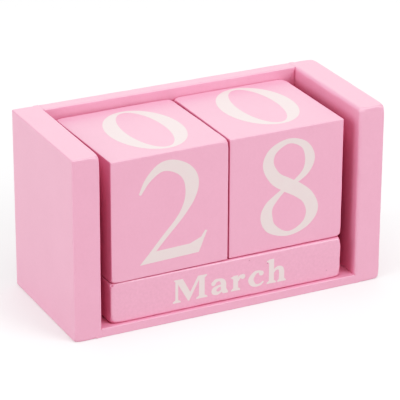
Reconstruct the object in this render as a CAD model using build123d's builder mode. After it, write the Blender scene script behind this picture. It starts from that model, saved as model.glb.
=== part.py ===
from build123d import *
import os

# Perpetual block calendar: an open tray holds three long month bars side by side, and two
# numbered cubes that stand on them. Millimetres. X runs along the tray, the open front faces
# -Y, and Z is up. The origin is the centre of the tray's underside.

# ---- driving dimensions ----
tray_width = 133.0
tray_depth = 58.6
tray_height = 74.7
side_thickness = 11.1
back_thickness = 5.6
base_thickness = 3.6
board_round = 0.4           # sanded edge of a board

cube_size = 50.0
cube_round = 1.0
bar_size = 16.9             # square section, so that any of the four names can face the front
bar_length = 100.4
bar_round = 1.2
slip = 0.1                  # gap between pieces that slide or rest on each other

bars_left = 15.6            # from the tray's left side to the bars' ends
bars_setback = 1.5          # from the tray's front edge to the front bar
left_cube_at = (16.0, 1.3)  # front-left corner: from the tray's left side, from its front edge
right_cube_at = (66.5, 2.6)
left_cube_turn = 1.1        # degrees, anticlockwise from above: the cubes stand slightly askew
right_cube_turn = 0.2

pin_diameter = 1.2
pin_length = 18.0
pin_cover = 1.5             # filler over each pin's sunken outer end
pins_up_the_back = (20.0, 60.0)         # heights above the table
pins_along_the_base = (15.0, 45.0)      # distances from the front edge

# ---- derived places ----
left_face = -tray_width / 2
front_face = -tray_depth / 2
back_face = tray_depth / 2
inner_width = tray_width - 2 * side_thickness
bar_floor = base_thickness + slip
cube_floor = bar_floor + bar_size + slip
pin_bite = side_thickness - pin_cover   # length of a pin inside the side board
pin_reach = pin_length - pin_bite       # and inside the back or the base
back_middle = back_face - back_thickness / 2
base_middle = base_thickness / 2

# Where the pins cross the plane between a side board and its neighbours, as (Y, Z).
back_pin_places = [(back_middle, height) for height in pins_up_the_back]
base_pin_places = [(front_face + reach, base_middle) for reach in pins_along_the_base]

os.makedirs("parts", exist_ok=True)


def finish(piece, name):
    """Name a finished piece and write it to its own file."""
    piece.label = name
    export_step(piece, f"parts/{name}.step")


# ---- side boards, with blind holes for the pins in the inner face ----
for side, direction in (("left", 1), ("right", -1)):
    outer_face = direction * left_face
    inner_face = outer_face + direction * side_thickness
    with BuildPart() as side_panel:
        with BuildSketch(Plane.YZ.offset(outer_face)):
            Rectangle(tray_depth, tray_height, align=(Align.CENTER, Align.MIN))
        extrude(amount=direction * side_thickness)
        outer_edges = side_panel.faces().sort_by(Axis.X)[0 if direction > 0 else -1].edges()
        fillet(outer_edges, board_round)
        with BuildSketch(Plane.YZ.offset(inner_face)):
            with Locations(*back_pin_places, *base_pin_places):
                Circle(pin_diameter / 2)
        extrude(amount=-direction * pin_bite, mode=Mode.SUBTRACT)
    finish(side_panel.part, f"{side}_side_panel")

    with BuildPart() as pins:
        with BuildSketch(Plane.YZ.offset(inner_face - direction * pin_bite)):
            with Locations(*back_pin_places, *base_pin_places):
                Circle(pin_diameter / 2)
        extrude(amount=direction * pin_length)
    finish(pins.part, f"{side}_pins")

# ---- back board, standing on the base between the sides ----
with BuildPart() as back_panel:
    with BuildSketch(Plane.XY.offset(base_thickness)):
        with Locations((0, back_middle)):
            Rectangle(inner_width, back_thickness)
    extrude(amount=tray_height - base_thickness)
    top_edges = back_panel.faces().sort_by(Axis.Z)[-1].edges().filter_by(Axis.X)
    fillet(top_edges, board_round)
    for end in (-1, 1):
        with BuildSketch(Plane.YZ.offset(end * inner_width / 2)):
            with Locations(*back_pin_places):
                Circle(pin_diameter / 2)
        extrude(amount=-end * pin_reach, mode=Mode.SUBTRACT)
finish(back_panel.part, "back_panel")

# ---- base board, under the blocks and the back ----
with BuildPart() as base_panel:
    with BuildSketch(Plane.XY):
        Rectangle(inner_width, tray_depth)
    extrude(amount=base_thickness)
    front_edges = base_panel.faces().sort_by(Axis.Y)[0].edges().filter_by(Axis.X)
    fillet(front_edges, board_round)
    for end in (-1, 1):
        with BuildSketch(Plane.YZ.offset(end * inner_width / 2)):
            with Locations(*base_pin_places):
                Circle(pin_diameter / 2)
        extrude(amount=-end * pin_reach, mode=Mode.SUBTRACT)
finish(base_panel.part, "base_panel")

# ---- month bars, one behind the other on the base ----
for row, place in enumerate(("front", "middle", "rear")):
    bar_front = front_face + bars_setback + row * (bar_size + slip)
    with BuildPart() as month_bar:
        with BuildSketch(Plane.XY.offset(bar_floor)):
            with Locations((left_face + bars_left, bar_front)):
                Rectangle(bar_length, bar_size, align=(Align.MIN, Align.MIN))
        extrude(amount=bar_size)
        fillet(month_bar.edges(), bar_round)
    finish(month_bar.part, f"month_bar_{place}")

# ---- day cubes, side by side on the bars ----
for side, corner, turn in (
    ("left", left_cube_at, left_cube_turn),
    ("right", right_cube_at, right_cube_turn),
):
    corner_point = (left_face + corner[0], front_face + corner[1], cube_floor)
    with BuildPart() as cube:
        with BuildSketch(Plane(origin=corner_point, z_dir=(0, 0, 1)).rotated((0, 0, turn))):
            Rectangle(cube_size, cube_size, align=(Align.MIN, Align.MIN))
        extrude(amount=cube_size)
        fillet(cube.edges(), cube_round)
    finish(cube.part, f"{side}_cube")
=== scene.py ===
from math import atan2, cos, exp, log, pi, radians, sin

import bmesh
import bpy
from mathutils import Matrix, Quaternion, Vector, geometry, noise


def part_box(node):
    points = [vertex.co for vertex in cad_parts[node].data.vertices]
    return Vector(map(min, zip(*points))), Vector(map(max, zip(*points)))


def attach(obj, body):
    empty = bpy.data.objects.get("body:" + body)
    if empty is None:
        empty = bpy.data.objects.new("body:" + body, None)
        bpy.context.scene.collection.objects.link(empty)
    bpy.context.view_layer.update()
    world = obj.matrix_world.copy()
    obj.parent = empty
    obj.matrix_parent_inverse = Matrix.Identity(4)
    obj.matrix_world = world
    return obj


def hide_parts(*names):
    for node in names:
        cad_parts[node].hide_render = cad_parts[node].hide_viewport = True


# Perpetual block calendar: a pink painted wooden tray with two numbered cubes standing on three
# month bars. The boards and blocks get hand-sanded meshes, and the numbers and names are printed
# on them in white ink. Metres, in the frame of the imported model; MM turns millimetres into metres.

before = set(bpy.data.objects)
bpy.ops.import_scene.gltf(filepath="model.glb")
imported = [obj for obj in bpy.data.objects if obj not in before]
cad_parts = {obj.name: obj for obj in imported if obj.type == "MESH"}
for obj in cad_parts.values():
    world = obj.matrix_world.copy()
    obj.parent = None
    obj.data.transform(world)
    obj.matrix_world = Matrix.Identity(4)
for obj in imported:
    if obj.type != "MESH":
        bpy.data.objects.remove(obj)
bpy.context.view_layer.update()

MM = 0.001

# ---- view: the camera's place and lens ----
VIEW_AZIMUTH = -26.42       # degrees round the object, 0 looks along +Y
VIEW_ELEVATION = 23.37
VIEW_ROLL = 0.25            # the photographer's camera stood a hair off level
VIEW_DISTANCE = 0.934
VIEW_TARGET = Vector((1.09 * MM, 0.88 * MM, 34.8 * MM))
SENSOR = 36.0
LENS = 212.35

# ---- colours, linear ----
PINK = (0.816, 0.379, 0.499)
INK = (0.785, 0.668, 0.652)
STEEL = (0.55, 0.55, 0.56)

# The contrast of a studio photograph: a nearly straight line in the log-odds of the light, which
# bends down in the shadows.
CONTRAST_LIFT = 0.26
CONTRAST_SLOPE = 1.24
CONTRAST_BEND = 0.08
CONTRAST_LEVELS = (0.03, 0.08, 0.17, 0.35, 0.60, 0.80)

# ---- boards and blocks, millimetres ----
BOARD_ROUND = 0.5           # how far hand sanding has rounded an edge
BOARD_CORNER = 1.7          # and a corner
SOFT_EDGE = 1.3             # the inner edges of the right board
BASE_ROUND = 0.25
SHARP = 0.02                # where boards are glued to each other
CUBE_ROUND = 0.35
CUBE_CORNER = 1.4
BAR_ROUND = 0.55
BAR_CORNER = 1.7
SEAM = 0.09                 # how far a block's painted surface lies inside its CAD solid
CUBE_CAD_ROUND = 1.0        # the rounding of a cube's edges in the CAD
INK_PROUD = 0.03            # how far the ink stands off the paint
INK_SUNK = 0.02             # and how far it reaches into it

# Corners that the sanding has missed, as (right, rear, upper).
CRISP_CORNERS = {
    "left_side_panel": ((False, True, True), (False, False, True), (False, True, False)),
    "left_cube": ((False, False, True), (True, False, False)),
    "right_cube": ((False, False, True), (True, False, True), (False, False, False)),
}

# ---- print, millimetres ----
DIGIT_SQUARE = 50.0         # the square that the digits are drawn in
BASELINE = -5.1             # of a month name, below the middle of the bar
TRACKING = 1.25             # space between two letters
INDENT = 0.9                # how far a name sits right of the middle of the bar
# Where the printing has slipped on a cube, to the right and up.
PRINT_SLIPS = {
    ("left_cube", "top"): (-0.4, -0.5),
    ("right_cube", "top"): (-0.6, 2.25),
    ("right_cube", "front"): (-0.4, 0),
}

# ---- studio, metres and watts ----
FLOOR_SIZE = 8
FLOOR_DROP = 0.05 * MM      # below the tray, so that the two don't share a plane
FLOOR_GREY = 0.92
SKY_STRENGTH = 0.543
LIT_POINT = (0, 0, 0.04)
# (name, place, size, power)
SOFTBOXES = (
    ("overhead", (-0.1, -0.2, 1.8), 1.4, 10.2),
    ("left_fill", (-1.6, -0.1, 0.6), 1.2, 11.4),
    ("right_fill", (0.9, -1.3, 1.0), 1.0, 14.0),
    ("front_fill", (-0.6, -1.6, 0.4), 1.0, 1.3),
    ("backdrop", (0.9, 2.3, 1.0), 2.0, 10.9),
)


# =============================== meshes ===============================

def add_mesh(name, bm, body, material, smooth):
    """Turn a bmesh into a piece that rides on a body."""
    mesh = bpy.data.meshes.new(name)
    bm.to_mesh(mesh)
    bm.free()
    for polygon in mesh.polygons:
        polygon.use_smooth = smooth
    mesh.materials.append(material)
    piece = bpy.data.objects.new(name, mesh)
    bpy.context.scene.collection.objects.link(piece)
    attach(piece, body)
    return piece


def lattice_lines(low, high, zone=3.6 * MM, crowded=10, spacing=1.3 * MM):
    """Positions from low to high, crowded towards both ends where the edges are rounded."""
    length = high - low
    zone = min(zone, 0.42 * length)
    ramp = [zone * (k / crowded) ** 1.7 for k in range(crowded + 1)]
    steps = max(1, round((length - 2 * zone) / spacing))
    middle = [zone + (length - 2 * zone) * k / steps for k in range(1, steps)]
    return [low + r for r in ramp + middle] + [high - r for r in reversed(ramp)]


def rounded_box(low, high, radius_at):
    """A closed box whose edges are rounded by radius_at(point), which may differ from place to place."""
    lines = [lattice_lines(low[axis], high[axis]) for axis in range(3)]
    last = [len(line) - 1 for line in lines]
    bm = bmesh.new()
    made = {}

    def vertex(index):
        if index not in made:
            point = Vector(lines[axis][index[axis]] for axis in range(3))
            radius = radius_at(point)
            core = Vector(
                min(max(point[axis], low[axis] + radius), high[axis] - radius)
                for axis in range(3)
            )
            offset = point - core
            made[index] = bm.verts.new(core + offset.normalized() * radius)
        return made[index]

    for axis in range(3):
        u, v = (axis + 1) % 3, (axis + 2) % 3
        for end in (0, last[axis]):
            for i in range(last[u]):
                for j in range(last[v]):
                    corners = []
                    for di, dj in ((0, 0), (1, 0), (1, 1), (0, 1)):
                        index = [0, 0, 0]
                        index[axis], index[u], index[v] = end, i + di, j + dj
                        corners.append(vertex(tuple(index)))
                    if end == 0:
                        corners.reverse()
                    bm.faces.new(corners)
    return bm


def hand_sanded(low, high, radius, corner, share, seed, crisp=(), reach=4.5):
    """A rounding radius in a box that wanders as sanding by hand leaves it.

    It grows towards the corners, apart from the crisp ones, each given as (right, rear, upper).
    """
    middle = (low + high) / 2

    def radius_at(point):
        if tuple(point[axis] > middle[axis] for axis in range(3)) in crisp:
            return radius * MM
        from_faces = [min(point[axis] - low[axis], high[axis] - point[axis]) for axis in range(3)]
        nearness = max(0, 1 - max(from_faces) / (reach * MM)) ** 2
        wander = noise.noise(point / (9 * MM) + Vector((seed, 0, 0)))
        bite = max(0, noise.noise(point / (2.6 * MM) + Vector((0, seed, 0))) - 0.2)
        return (radius + (corner - radius) * nearness) * MM * (1 + share * wander + 1.6 * share * bite)
    return radius_at


# =============================== lettering ===============================
# A glyph is a list of convex polygons that may overlap, in millimetres, with y up from the
# baseline. They are merged into one outline when the glyph is printed.

STEM = 2.3                  # thick and thin strokes of the month names
THIN = 1.1
SMALL = 6.7                 # heights above the baseline: small letters, capitals, ascenders
CAPITAL = 9.8
TALL = 10.4
DROP = -2.9                 # depth of a tail below the baseline


def hull(points):
    return [[points[i] for i in geometry.convex_hull_2d(points)]]


def slab(x0, y0, x1, y1):
    return [[(x0, y0), (x1, y0), (x1, y1), (x0, y1)]]


def disc(x, y, radius, sides=20):
    return [[(x + radius * cos(2 * pi * k / sides), y + radius * sin(2 * pi * k / sides))
             for k in range(sides)]]


def smooth_run(points, closed, steps=7):
    """Points along the Catmull-Rom curve through the given ones."""
    count = len(points)
    run = []
    for k in range(count if closed else count - 1):
        if closed:
            a, b, c, d = (points[(k + n) % count] for n in (-1, 0, 1, 2))
        else:
            a, b, c, d = (points[min(max(k + n, 0), count - 1)] for n in (-1, 0, 1, 2))
        for step in range(steps):
            t = step / steps
            run.append(0.5 * (2 * b + (c - a) * t + (2 * a - 5 * b + 4 * c - d) * t * t
                              + (3 * b - a - 3 * c + d) * t ** 3))
    return run + [run[0] if closed else points[-1]]


def pen(*spine, closed=False):
    """A stroke along (x, y, width) points, its width measured square to its path."""
    run = smooth_run([Vector(point) for point in spine], closed)
    sides = []
    for k, point in enumerate(run):
        before = run[k - 1] if k else (run[-2] if closed else point)
        after = run[k + 1] if k + 1 < len(run) else (run[1] if closed else point)
        along = (after - before).xy.normalized()
        half = Vector((-along.y, along.x)) * point.z / 2
        sides.append((tuple(point.xy + half), tuple(point.xy - half)))
    strokes = []
    for near, far in zip(sides, sides[1:]):
        strokes += hull([*near, *far])
    return strokes


def ring(x, y, rx, ry, hole_rx, hole_ry, sides=72):
    """An oval with an oval counter, as quads between the two."""
    turns = [2 * pi * k / sides for k in range(sides + 1)]
    quads = []
    for a, b in zip(turns, turns[1:]):
        quads += hull([(x + width * cos(t), y + height * sin(t))
                       for t in (a, b) for width, height in ((rx, ry), (hole_rx, hole_ry))])
    return quads


def serif(x0, x1, y, stem0, stem1, up=1, thick=0.55, rise=1.25):
    """A bracketed foot or head serif from x0 to x1, against a stem between stem0 and stem1."""
    return hull([(x0, y), (x1, y), (x1 - 0.1, y + up * thick), (stem1, y + up * rise),
                 (stem0, y + up * rise), (x0 + 0.1, y + up * thick)])


def stem(x, low, high, width=STEM, foot=1.0, head=None):
    """An upright stroke with its left side at x. head is its top: a slab serif, a flag, or none."""
    parts = slab(x, low, x + width, high)
    if foot:
        parts += serif(x - foot, x + width + foot, low, x, x + width)
    if head == "slab":
        parts += serif(x - 1.0, x + width + 1.0, high, x, x + width, up=-1)
    if head == "flag":
        parts += hull([(x - 0.95, high - 0.85), (x - 0.9, high - 0.45), (x + width * 0.6, high),
                       (x + width * 0.6, high - 1.9), (x, high - 1.5)])
    return parts


def arch(x, span=3.3):
    """The shoulder of an n, from a stem whose right side is at x to a second stem with its foot."""
    far = x + span
    return (pen((x - 0.5, 4.4, 0.9), (x + 0.5, 5.6, 1.1), (x + 1.8, 6.1, 1.5),
                (far - 0.3, 5.6, 2.1), (far + 0.15, 4.2, STEM))
            + stem(far - 1.0, 0, 4.5, foot=0.8))


DIGITS = {
    "0": ring(26.8, 25.1, 15.1, 20.8, 8.3, 19.3),
    "1": slab(22.2, 6.0, 28.0, 43.0)
         + hull([(22.2, 41.6), (22.2, 43.0), (28.0, 43.0), (28.0, 45.8),
                 (26.5, 45.8), (14.8, 41.2), (14.8, 40.0)])
         + serif(15.5, 34.7, 5.0, 22.2, 28.0, thick=1.1, rise=3.2),
    "2": pen((12.2, 34.5, 1.0), (15.4, 39.8, 2.3), (20.2, 43.8, 3.5), (24.6, 44.4, 4.5),
             (29.5, 42.5, 5.2), (32.9, 39.2, 5.9), (34.2, 35.0, 5.9), (33.5, 30.0, 4.5),
             (31.3, 25.4, 3.0), (28.0, 21.0, 2.2), (22.4, 15.2, 2.0), (15.3, 7.5, 1.8))
         + hull([(12.0, 5.4), (37.2, 6.0), (38.6, 9.2), (36.4, 10.4), (19.0, 10.0), (15.0, 8.6)])
         + hull([(37.2, 6.0), (40.8, 14.5), (40.0, 14.8), (38.0, 11.9), (36.2, 9.0)])
         + hull([(36.4, 10.4), (38.2, 12.2), (37.6, 9.0), (33.0, 10.2)]),
    "3": pen((12.8, 37.0, 1.0), (15.8, 41.6, 2.3), (21.2, 44.6, 3.2), (27.0, 43.7, 4.6),
             (31.2, 39.8, 5.6), (31.2, 34.6, 5.0), (27.8, 29.8, 3.0), (21.2, 26.6, 1.5))
         + pen((19.8, 27.2, 1.5), (26.4, 27.2, 3.2), (32.4, 23.6, 5.6), (34.6, 17.0, 6.3),
               (32.2, 10.4, 5.4), (26.0, 6.5, 3.0), (18.6, 6.4, 2.0), (14.8, 8.6, 2.2))
         + disc(14.6, 9.6, 2.5),
    "4": slab(27.4, 6.0, 33.0, 45.6) + serif(21.2, 39.2, 5.0, 27.4, 33.0, thick=1.1, rise=3.2)
         + pen((11.4, 16.2, 2.0), (28.8, 45.0, 2.0)) + slab(10.3, 14.6, 39.8, 17.4),
    "5": pen((17.4, 43.0, 1.6), (15.9, 26.8, 1.5))
         + hull([(16.6, 40.6), (16.6, 44.8), (34.6, 44.8), (33.4, 40.6)])
         + pen((16.0, 26.4, 1.2), (20.4, 28.8, 2.0), (26.8, 28.4, 3.8), (32.0, 24.6, 5.8),
               (33.6, 18.2, 6.2), (31.4, 11.2, 5.4), (25.6, 6.7, 3.0), (18.6, 6.3, 2.0),
               (14.8, 8.4, 2.2))
         + disc(14.6, 9.4, 2.5),
    "6": ring(25.8, 17.8, 13.2, 12.9, 7.0, 11.2)
         + pen((15.8, 18.0, 6.2), (16.2, 26.5, 5.6), (20.0, 35.0, 4.2), (26.4, 41.6, 2.4),
               (33.4, 45.2, 1.0)),
    "7": slab(12.8, 40.4, 38.4, 44.9)
         + hull([(12.8, 44.9), (11.4, 36.4), (12.6, 36.2), (15.6, 40.4), (16.0, 44.9)])
         + pen((37.4, 42.9, 2.0), (31.4, 33.4, 2.8), (26.8, 23.0, 4.2), (24.6, 13.6, 5.2),
               (24.2, 5.4, 5.6)),
    "8": pen((25.2, 26.9, 5.7), (20.3, 30.4, 5.2), (17.2, 36.4, 4.8), (19.3, 41.9, 3.4),
             (26.2, 44.9, 2.1), (32.9, 42.3, 3.0), (35.5, 36.6, 4.3), (34.0, 31.4, 3.2),
             (29.9, 27.9, 2.0), (25.4, 25.6, 1.6), (21.4, 22.6, 2.4), (17.7, 18.8, 3.9),
             (16.7, 14.4, 5.2), (19.0, 9.3, 4.2), (26.2, 5.9, 1.9), (33.6, 8.4, 3.0),
             (36.9, 13.9, 5.3), (35.0, 19.6, 5.4), (30.6, 23.6, 5.6), closed=True),
}

# A letter is (width, polygons), with its left side at x = 0.
BOWL = ((3.0, 4.9, 0.9), (4.5, 6.1, 1.2), (6.5, 5.3, 2.1), (7.1, 3.4, 2.3),
        (6.4, 1.2, 2.0), (4.5, 0.4, 1.1), (2.8, 1.1, 0.9))
VEE = (hull([(1.0, SMALL), (3.7, SMALL), (5.0, 1.9), (4.6, 0), (3.9, 0)])
       + hull([(3.9, 0), (4.6, 0), (7.8, SMALL), (6.8, SMALL), (4.4, 1.4)])
       + slab(0, 6.1, 4.7, SMALL) + slab(5.6, 6.1, 8.9, SMALL))

LETTERS = {
    "A": (11.2, hull([(1.8, 0.4), (2.8, 0.4), (6.3, 9.9), (5.3, 9.9)])
          + hull([(4.6, 9.9), (6.3, 9.9), (10.2, 0.4), (7.5, 0.4)]) + slab(3.2, 2.9, 8.2, 3.6)
          + serif(0.4, 4.1, 0, 1.9, 2.9) + serif(6.3, 11.2, 0, 7.6, 10.0)),
    "D": (10.5, stem(1.1, 0, CAPITAL, head="slab")
          + pen((2.6, 9.45, 0.7), (5.6, 9.2, 1.1), (8.1, 7.6, 2.3), (8.95, 4.9, 2.9), (8.1, 2.2, 2.3),
                (5.6, 0.6, 1.1), (2.6, 0.35, 0.7))),
    "F": (8.5, stem(1.1, 0, CAPITAL, head="slab")
          + slab(3.2, 9.1, 8.0, CAPITAL) + slab(3.2, 4.7, 6.0, 5.4)
          + hull([(6.2, CAPITAL), (8.1, CAPITAL), (8.5, 7.2), (8.0, 7.2), (6.2, 9.1)])
          + hull([(5.2, 4.7), (6.3, 3.2), (6.7, 3.2), (6.7, 6.9), (6.3, 6.9), (5.2, 5.4)])),
    "J": (6.3, stem(3.0, 1.4, CAPITAL, foot=0, head="slab")
          + pen((4.15, 2.0, 2.3), (3.8, 0.4, 2.0), (2.7, -0.5, 1.2), (1.4, -0.4, 0.9))
          + disc(1.15, 0.3, 1.1)),
    "M": (15.3, stem(1.25, 0, 9.4, width=1.2, foot=1.15)
          + hull([(0.65, CAPITAL), (0.75, 9.25), (4.0, 9.3), (4.4, CAPITAL)])
          + hull([(1.3, CAPITAL), (4.4, CAPITAL), (8.35, 2.3), (7.2, 0.0), (6.7, 0.0)])
          + hull([(6.7, 0.0), (7.2, 0.0), (12.3, CAPITAL), (11.0, CAPITAL), (6.7, 1.8)])
          + stem(11.45, 0, CAPITAL, width=2.4, foot=1.3)
          + serif(11.0, 14.9, CAPITAL, 11.4, 13.85, up=-1)),
    "N": (11.6, stem(1.3, 0, 9.4, width=1.2, foot=1.15)
          + hull([(0.4, CAPITAL), (0.5, 9.25), (3.9, 9.3), (4.4, CAPITAL)])
          + hull([(1.3, CAPITAL), (4.3, CAPITAL), (10.3, 0.3), (10.3, -0.2), (9.4, -0.2)])
          + slab(9.1, 0, 10.3, CAPITAL) + serif(7.8, 11.6, CAPITAL, 9.1, 10.3, up=-1)),
    "O": (10.5, ring(5.25, 4.9, 5.25, 5.15, 2.9, 4.45)),
    "S": (7.6, pen((6.3, 7.4, 0.8), (5.7, 8.9, 1.0), (4.2, 9.5, 1.0), (2.3, 8.9, 1.7), (1.7, 7.3, 2.3),
                   (3.1, 5.8, 2.7), (5.2, 4.4, 2.8), (6.2, 2.7, 2.6), (5.4, 1.0, 1.9), (3.7, 0.35, 1.0),
                   (2.0, 0.8, 1.0), (1.0, 2.4, 0.8))
          + hull([(6.3, 9.9), (6.8, 9.9), (6.8, 6.8), (6.3, 7.0)])
          + hull([(0.6, 0.0), (1.1, 0.0), (1.1, 3.1), (0.6, 3.2)])),
    "a": (7.6, pen((1.0, 4.8, 1.0), (2.0, 5.9, 1.5), (3.6, 6.15, 1.1), (4.9, 5.5, 1.9), (5.5, 4.2, STEM),
                   (5.5, 2.0, STEM))
          + disc(1.15, 4.95, 0.95)
          + pen((4.9, 3.7, 0.7), (3.0, 3.3, 1.1), (1.5, 2.4, 1.9), (1.5, 1.3, 2.2), (2.6, 0.6, 1.5),
                (4.0, 0.9, 0.9), (4.9, 1.8, 0.8))
          + hull([(4.4, 2.2), (6.6, 2.2), (6.7, 0.7), (7.5, 0.55), (7.4, 0.0), (5.4, 0.0), (4.4, 1.0)])),
    "b": (8.2, stem(0.95, 0.2, TALL, foot=0, head="flag") + pen(*BOWL)),
    "c": (6.9, pen((5.9, 5.5, 1.4), (4.7, 6.2, 1.0), (2.9, 5.8, 1.5), (1.25, 3.5, STEM), (1.9, 1.5, 2.1),
                   (3.6, 0.4, 1.1), (5.4, 0.6, 0.9), (6.8, 1.6, 0.6))
          + disc(5.8, 5.3, 1.05)),
    "e": (6.9, pen((5.7, 3.8, 2.1), (5.5, 5.0, 1.9), (4.2, 6.2, 1.1), (2.5, 5.6, 1.6), (1.25, 3.5, STEM),
                   (1.9, 1.5, 2.1), (3.7, 0.4, 1.1), (5.4, 0.6, 0.9), (6.8, 1.6, 0.6))
          + slab(1.5, 3.2, 6.7, 3.9)),
    "g": (7.6, ring(3.5, 4.5, 2.9, 2.15, 0.95, 1.6)
          + pen((4.6, 5.9, 0.9), (6.0, 6.3, 0.8)) + disc(6.6, 6.0, 0.75)
          + pen((2.2, 2.7, 0.9), (1.3, 1.7, 1.2), (2.4, 0.9, 1.5), (5.2, 0.6, 1.8), (6.5, -0.8, 1.6),
                (5.4, -2.2, 1.1), (3.0, -2.6, 0.9), (1.0, -1.8, 1.2), (1.2, -0.5, 1.0),
                (2.6, 0.5, 0.8))),
    "h": (9.0, stem(1.05, 0, TALL, width=2.2, head="flag") + arch(3.25)),
    "i": (4.3, stem(1.0, 0, 6.5, head="flag") + disc(2.1, 8.9, 1.25)),
    "l": (4.3, stem(1.0, 0, TALL, head="flag")),
    "m": (13.4, stem(1.0, 0, 6.5, head="flag") + arch(3.3) + arch(7.9)),
    "n": (8.8, stem(1.0, 0, 6.5, head="flag") + arch(3.3)),
    "o": (7.3, ring(3.65, 3.3, 3.65, 3.5, 1.35, 2.8)),
    "p": (8.3, stem(0.95, DROP, 6.5, head="flag") + pen(*BOWL)),
    "r": (6.2, stem(0.9, 0, 6.5, width=2.1, head="flag")
          + pen((2.9, 4.0, 0.8), (3.6, 5.4, 1.1), (4.6, 5.9, 1.4)) + disc(5.1, 5.5, 1.05)),
    "s": (5.6, pen((4.7, 4.9, 0.7), (4.1, 6.0, 0.9), (2.6, 6.2, 1.0), (1.5, 5.1, 1.7), (2.4, 3.9, 2.1),
                   (3.9, 2.9, 2.2), (4.5, 1.7, 1.9), (3.4, 0.6, 1.1), (2.0, 0.6, 0.9), (0.9, 1.8, 0.7))
          + hull([(4.6, 6.6), (5.0, 6.6), (5.0, 4.4), (4.6, 4.6)])
          + hull([(0.5, 0.1), (0.9, 0.1), (0.9, 2.3), (0.5, 2.3)])),
    "t": (5.2, slab(1.2, 1.6, 3.5, 6.6) + slab(0, 5.8, 5.0, 6.5)
          + hull([(1.2, 6.2), (3.5, 6.2), (3.5, 8.8), (3.1, 8.8), (1.6, 7.0)])
          + pen((2.35, 2.0, STEM), (2.8, 0.9, 1.7), (4.0, 0.6, 1.0), (5.1, 1.3, 0.6))),
    "u": (9.2, stem(1.0, 1.8, 6.5, foot=0, head="flag") + stem(5.9, 0.2, 6.5, foot=0, head="flag")
          + pen((2.15, 2.4, STEM), (2.6, 1.1, 1.9), (4.0, 0.5, 1.2), (6.0, 1.4, 0.9))
          + hull([(6.6, 0.0), (9.1, 0.0), (9.2, 0.55), (8.2, 0.9), (6.6, 1.4)])),
    "v": (8.9, VEE),
    "y": (8.9, VEE + pen((4.3, 1.0, 1.1), (3.5, -1.2, 1.2), (2.2, -2.4, 1.1)) + disc(1.5, -2.0, 1.05)),
}


# =============================== materials ===============================

def new_material(name):
    material = bpy.data.materials.new(name)
    material.use_nodes = True
    return material, material.node_tree.nodes, material.node_tree.links


# Bumps in painted wood, from broad to fine: (scale, detail, depth in mm, deeper with the grain).
WOOD_BUMPS = ((45, 2, 0.12, False), (260, 2, 0.03, True), (1100, 3, 0.016, True))


def painted_wood(name, colour, grain, seed, pits=0.0):
    """Satin paint over sanded wood, with faint patches, a fine grain, broad ripples and a few pits whose
    shade is painted into the colour.
    """
    material, nodes, links = new_material(name)
    shader = nodes["Principled BSDF"]
    shader.inputs["Roughness"].default_value = 0.42
    shader.inputs["Specular IOR Level"].default_value = 1.0
    place = nodes.new("ShaderNodeTexCoord").outputs["Object"]

    def cells(scale, detail):
        texture = nodes.new("ShaderNodeTexNoise")
        texture.noise_dimensions = "4D"
        texture.inputs["W"].default_value = seed
        texture.inputs["Scale"].default_value = scale
        texture.inputs["Detail"].default_value = detail
        links.new(place, texture.inputs["Vector"])
        return texture.outputs["Fac"]

    def shades(factor, low, high, tint):
        """A mix of two shades of a colour, by a factor."""
        mix = nodes.new("ShaderNodeMix")
        mix.data_type = "RGBA"
        mix.inputs["A"].default_value = (*(c * low for c in tint), 1)
        mix.inputs["B"].default_value = (*(c * high for c in tint), 1)
        links.new(factor, mix.inputs["Factor"])
        return mix.outputs["Result"]

    def below(value, threshold):
        test = nodes.new("ShaderNodeMath")
        test.operation = "LESS_THAN"
        links.new(value, test.inputs[0])
        test.inputs[1].default_value = threshold
        return test.outputs["Value"]

    def painted_pit_shade(coat):
        """Painted shade of small pits: dark spots in the colour, each at the middle of a cell, in a
        share of the cells.
        """
        spots = nodes.new("ShaderNodeTexVoronoi")
        spots.inputs["Scale"].default_value = 260
        links.new(place, spots.inputs["Vector"])
        chance = nodes.new("ShaderNodeSeparateColor")
        links.new(spots.outputs["Color"], chance.inputs["Color"])
        both = nodes.new("ShaderNodeMath")
        both.operation = "MULTIPLY"
        links.new(below(spots.outputs["Distance"], 0.085), both.inputs[0])
        links.new(below(chance.outputs["Red"], pits), both.inputs[1])
        mix = nodes.new("ShaderNodeMix")
        mix.data_type = "RGBA"
        links.new(both.outputs["Value"], mix.inputs["Factor"])
        links.new(coat, mix.inputs["A"])
        # painted shade: a pit is only this darker colour, with no hollow in the mesh
        mix.inputs["B"].default_value = (*(c * 0.72 for c in colour), 1)
        return mix.outputs["Result"]

    patches = shades(cells(70, 4), 0.965, 1.035, colour)
    speckle = shades(cells(900, 3), 1 - 0.08 * grain, 1 + 0.08 * grain, (1, 1, 1))
    paint = nodes.new("ShaderNodeMix")
    paint.data_type = "RGBA"
    paint.blend_type = "MULTIPLY"
    paint.inputs["Factor"].default_value = 1.0
    links.new(patches, paint.inputs["A"])
    links.new(speckle, paint.inputs["B"])
    coat = paint.outputs["Result"]
    # painted shade of pinholes, darkening the colour where a pit would hold shade
    if pits:
        coat = painted_pit_shade(coat)
    links.new(coat, shader.inputs["Base Color"])

    normal = None
    for scale, detail, depth, with_grain in WOOD_BUMPS:
        bump = nodes.new("ShaderNodeBump")
        bump.inputs["Strength"].default_value = 0.5
        bump.inputs["Distance"].default_value = depth * (grain if with_grain else 1) * MM
        links.new(cells(scale, detail), bump.inputs["Height"])
        if normal:
            links.new(normal, bump.inputs["Normal"])
        normal = bump.outputs["Normal"]
    links.new(normal, shader.inputs["Normal"])
    return material


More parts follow.
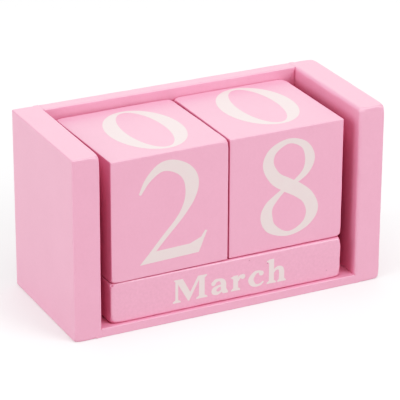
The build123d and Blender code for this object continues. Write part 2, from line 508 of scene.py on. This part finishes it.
def printed_ink(name):
    """Thin white ink, a little uneven, with the pink just showing through."""
    material, nodes, links = new_material(name)
    shader = nodes["Principled BSDF"]
    shader.inputs["Roughness"].default_value = 0.5
    place = nodes.new("ShaderNodeTexCoord").outputs["Object"]
    texture = nodes.new("ShaderNodeTexNoise")
    texture.inputs["Scale"].default_value = 260
    texture.inputs["Detail"].default_value = 5
    links.new(place, texture.inputs["Vector"])
    mix = nodes.new("ShaderNodeMix")
    mix.data_type = "RGBA"
    mix.inputs["A"].default_value = (*(0.84 * i + 0.16 * p for i, p in zip(INK, PINK)), 1)
    mix.inputs["B"].default_value = (*INK, 1)
    links.new(texture.outputs["Fac"], mix.inputs["Factor"])
    links.new(mix.outputs["Result"], shader.inputs["Base Color"])
    return material


def drawn_steel(name):
    material, nodes, links = new_material(name)
    shader = nodes["Principled BSDF"]
    shader.inputs["Base Color"].default_value = (*STEEL, 1)
    shader.inputs["Metallic"].default_value = 1.0
    texture = nodes.new("ShaderNodeTexNoise")
    texture.inputs["Scale"].default_value = 900
    ramp = nodes.new("ShaderNodeMapRange")
    ramp.inputs["To Min"].default_value = 0.28
    ramp.inputs["To Max"].default_value = 0.45
    links.new(texture.outputs["Fac"], ramp.inputs["Value"])
    links.new(ramp.outputs["Result"], shader.inputs["Roughness"])
    return material


tray_paint = painted_wood("tray_paint", PINK, 0.45, 1.7)
cube_paint = painted_wood("cube_paint", PINK, 0.5, 4.2)
bar_paint = painted_wood("bar_paint", PINK, 1.4, 6.1, pits=0.3)
ink = printed_ink("white_ink")
steel = drawn_steel("pin_steel")


# =============================== tray ===============================

back_low, back_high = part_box("back_panel")
base_low, base_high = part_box("base_panel")
inner_left, inner_right = base_low.x, base_high.x
base_top = base_high.z
back_inner = back_low.y


def side_radius(node, inner_x, inner_round):
    """Side boards are sharp where the back and the base meet them, and rounded elsewhere."""
    low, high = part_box(node)
    crisp = CRISP_CORNERS.get(node, ())
    outside = hand_sanded(low, high, BOARD_ROUND, BOARD_CORNER, 0.35, 3.0 + inner_x, crisp)
    inside = hand_sanded(low, high, inner_round, BOARD_CORNER, 0.35, 3.0 + inner_x)

    def radius_at(point):
        if abs(point.x - inner_x) > 2 * MM:
            return outside(point)
        if point.y > back_inner or point.z < base_top:
            return SHARP * MM
        return inside(point)
    return radius_at


def back_radius(point):
    """The back is rounded only along its top edges."""
    if abs(point.x) > inner_right - 1e-6 or point.z < base_top + 2 * MM:
        return SHARP * MM
    return hand_sanded(back_low, back_high, BOARD_ROUND, BOARD_ROUND, 0.35, 9.0)(point)


def base_radius(point):
    """The base is rounded only along its front and its rear lower edge."""
    if abs(point.x) > inner_right - 1e-6:
        return SHARP * MM
    return hand_sanded(base_low, base_high, BASE_ROUND, BASE_ROUND, 0.4, 12.0)(point)


BOARDS = {
    "left_side_panel": side_radius("left_side_panel", inner_left, BOARD_ROUND),
    "right_side_panel": side_radius("right_side_panel", inner_right, SOFT_EDGE),
    "back_panel": back_radius,
    "base_panel": base_radius,
}
for node, radius_at in BOARDS.items():
    low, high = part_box(node)
    bm = rounded_box(low, high, radius_at)
    board = add_mesh(node + "_board", bm, "tray", tray_paint, smooth=True)
    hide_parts(node)

for node in ("left_pins", "right_pins"):
    for material_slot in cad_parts[node].material_slots:
        material_slot.material = steel


# =============================== blocks and their print ===============================

def turn_of(node):
    """How far a block stands turned about Z, read from its biggest face towards the front."""
    faces = [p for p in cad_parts[node].data.polygons if p.normal.y < -0.9]
    front = max(faces, key=lambda p: p.area).normal
    return atan2(front.x, -front.y)


def block_pose(node, corner_round):
    """(half size of the painted block, matrix from its own centred frame), read from the CAD."""
    low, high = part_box(node)
    turn = turn_of(node)
    spread = abs(cos(turn)) + abs(sin(turn))
    size = high - low
    if abs(turn) > 1e-4:
        size.x = size.y = (size.x - 2 * corner_round) / spread + 2 * corner_round
    matrix = Matrix.Translation((low + high) / 2) @ Matrix.Rotation(turn, 4, "Z")
    return size / 2 - Vector((SEAM, SEAM, SEAM)) * MM, matrix


# Faces of a block, as (right, up) while it is read: outward is right x up.
X, Y, Z = Vector((1, 0, 0)), Vector((0, 1, 0)), Vector((0, 0, 1))
FACES = {
    "front": (X, Z), "top": (X, Y), "rear": (-X, Z), "bottom": (X, -Y), "left": (-Y, Z), "right": (Y, Z),
    "rolled_rear": (X, -Z),
}


def print_glyphs(name, polygons, half, matrix, face, origin, node):
    """Merge a glyph's polygons and lay them on a face as a thin plate of ink."""
    points, outlines = [], []
    for polygon in polygons:
        outlines.append(list(range(len(points), len(points) + len(polygon))))
        points += [Vector(point) for point in polygon]
    points, _, triangles, _, _, owners = geometry.delaunay_2d_cdt(points, [], outlines, 0, 1e-4)
    triangles = [triangle for triangle, owner in zip(triangles, owners) if owner]

    right, up = FACES[face]
    out = right.cross(up)
    reach = Vector(abs(c) for c in out).dot(half)
    sink = out * (reach - INK_SUNK * MM)
    bm = bmesh.new()
    placed = []
    for point in points:
        across = right * (point.x + origin[0]) * MM
        above = up * (point.y + origin[1]) * MM
        placed.append(bm.verts.new(across + above + sink))
    for triangle in triangles:
        bm.faces.new([placed[i] for i in triangle])
    bmesh.ops.dissolve_limit(bm, angle_limit=0.001, verts=bm.verts[:], edges=bm.edges[:])
    grown = bmesh.ops.extrude_face_region(bm, geom=bm.faces[:])
    raised = [item for item in grown["geom"] if isinstance(item, bmesh.types.BMVert)]
    bmesh.ops.translate(bm, verts=raised, vec=out * (INK_SUNK + INK_PROUD) * MM)
    bmesh.ops.recalc_face_normals(bm, faces=bm.faces[:])
    bm.transform(matrix)
    return add_mesh(name, bm, node, ink, smooth=False)


CUBE_FACES = {
    "left_cube": {"front": "2", "top": "0", "left": "3", "right": "1", "rear": "4", "bottom": "5"},
    "right_cube": {"front": "8", "top": "0", "left": "2", "right": "1", "rear": "7", "bottom": "6"},
}
for seed, (node, digits) in enumerate(CUBE_FACES.items()):
    half, matrix = block_pose(node, CUBE_CAD_ROUND * MM)
    crisp = CRISP_CORNERS[node]
    sanded = hand_sanded(-half, half, CUBE_ROUND, CUBE_CORNER, 0.5, 20.0 + 7 * seed, crisp)
    bm = rounded_box(-half, half, sanded)
    bm.transform(matrix)
    block = add_mesh(node + "_block", bm, node, cube_paint, smooth=True)
    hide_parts(node)
    for face, digit in digits.items():
        slip_x, slip_y = PRINT_SLIPS.get((node, face), (0, 0))
        origin = (slip_x - DIGIT_SQUARE / 2, slip_y - DIGIT_SQUARE / 2)
        print_glyphs(f"{node}_{face}_number", DIGITS[digit], half, matrix, face, origin, node)

# The names round a bar, on these faces. The rear one is read with the bar rolled forwards.
ROUND_A_BAR = ("front", "top", "rolled_rear", "bottom")
BAR_MONTHS = {
    "month_bar_front": ("March", "June", "September", "December"),
    "month_bar_middle": ("January", "April", "July", "October"),
    "month_bar_rear": ("February", "May", "August", "November"),
}
for seed, (node, months) in enumerate(BAR_MONTHS.items()):
    half, matrix = block_pose(node, 0)
    sanded = hand_sanded(-half, half, BAR_ROUND, BAR_CORNER, 0.6, 50.0 + 5 * seed)
    bm = rounded_box(-half, half, sanded)
    bm.transform(matrix)
    block = add_mesh(node + "_block", bm, node, bar_paint, smooth=True)
    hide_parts(node)
    for face, month in zip(ROUND_A_BAR, months):
        width = sum(LETTERS[c][0] + TRACKING for c in month) - TRACKING
        x = INDENT - width / 2
        word = []
        for c in month:
            advance, parts = LETTERS[c]
            word += [[(px + x, py) for px, py in part] for part in parts]
            x += advance + TRACKING
        print_glyphs(f"{node}_{face}_name", word, half, matrix, face, (0, BASELINE), node)


# =============================== floor, light and camera ===============================

def plain_material(name, colour, roughness):
    material, nodes, _ = new_material(name)
    nodes["Principled BSDF"].inputs["Base Color"].default_value = (*colour, 1)
    nodes["Principled BSDF"].inputs["Roughness"].default_value = roughness
    return material


bpy.ops.mesh.primitive_plane_add(size=FLOOR_SIZE, location=(0, 0, -FLOOR_DROP))
floor = bpy.context.object
floor.name = "floor"
floor.visible_diffuse = False       # a cut-out product picture has little light thrown up from below
floor.data.materials.append(plain_material("floor", (FLOOR_GREY, FLOOR_GREY, FLOOR_GREY), 0.9))

world = bpy.data.worlds.new("studio")
bpy.context.scene.world = world
world.use_nodes = True
world.node_tree.nodes["Background"].inputs["Color"].default_value = (1, 1, 1, 1)
world.node_tree.nodes["Background"].inputs["Strength"].default_value = SKY_STRENGTH

for name, place, size, power in SOFTBOXES:
    light = bpy.data.lights.new(name, "AREA")
    light.size = size
    light.energy = power
    lamp = bpy.data.objects.new(name, light)
    bpy.context.scene.collection.objects.link(lamp)
    lamp.location = place
    lamp.rotation_euler = (Vector(LIT_POINT) - Vector(place)).to_track_quat("-Z", "Y").to_euler()

azimuth, elevation = radians(VIEW_AZIMUTH), radians(VIEW_ELEVATION)
back = Vector((sin(azimuth) * cos(elevation), -cos(azimuth) * cos(elevation), sin(elevation)))
camera = bpy.data.objects.new("camera", bpy.data.cameras.new("camera"))
bpy.context.scene.collection.objects.link(camera)
camera.data.sensor_width = SENSOR
camera.data.lens = LENS
camera.location = VIEW_TARGET + back * VIEW_DISTANCE
upright = (-back).to_track_quat("-Z", "Y")
camera.rotation_euler = (upright @ Quaternion((0, 0, 1), radians(VIEW_ROLL))).to_euler()
bpy.context.scene.camera = camera


def contrasted(level):
    """How bright a light level shows once the picture has its contrast."""
    odds = log(level / (1 - level))
    return 1 / (1 + exp(-(CONTRAST_LIFT + CONTRAST_SLOPE * odds - CONTRAST_BEND * odds ** 2)))


view = bpy.context.scene.view_settings
view.view_transform = "Standard"
view.use_curve_mapping = True
contrast = view.curve_mapping.curves[3]
for level in CONTRAST_LEVELS:
    contrast.points.new(level, contrasted(level))
view.curve_mapping.update()
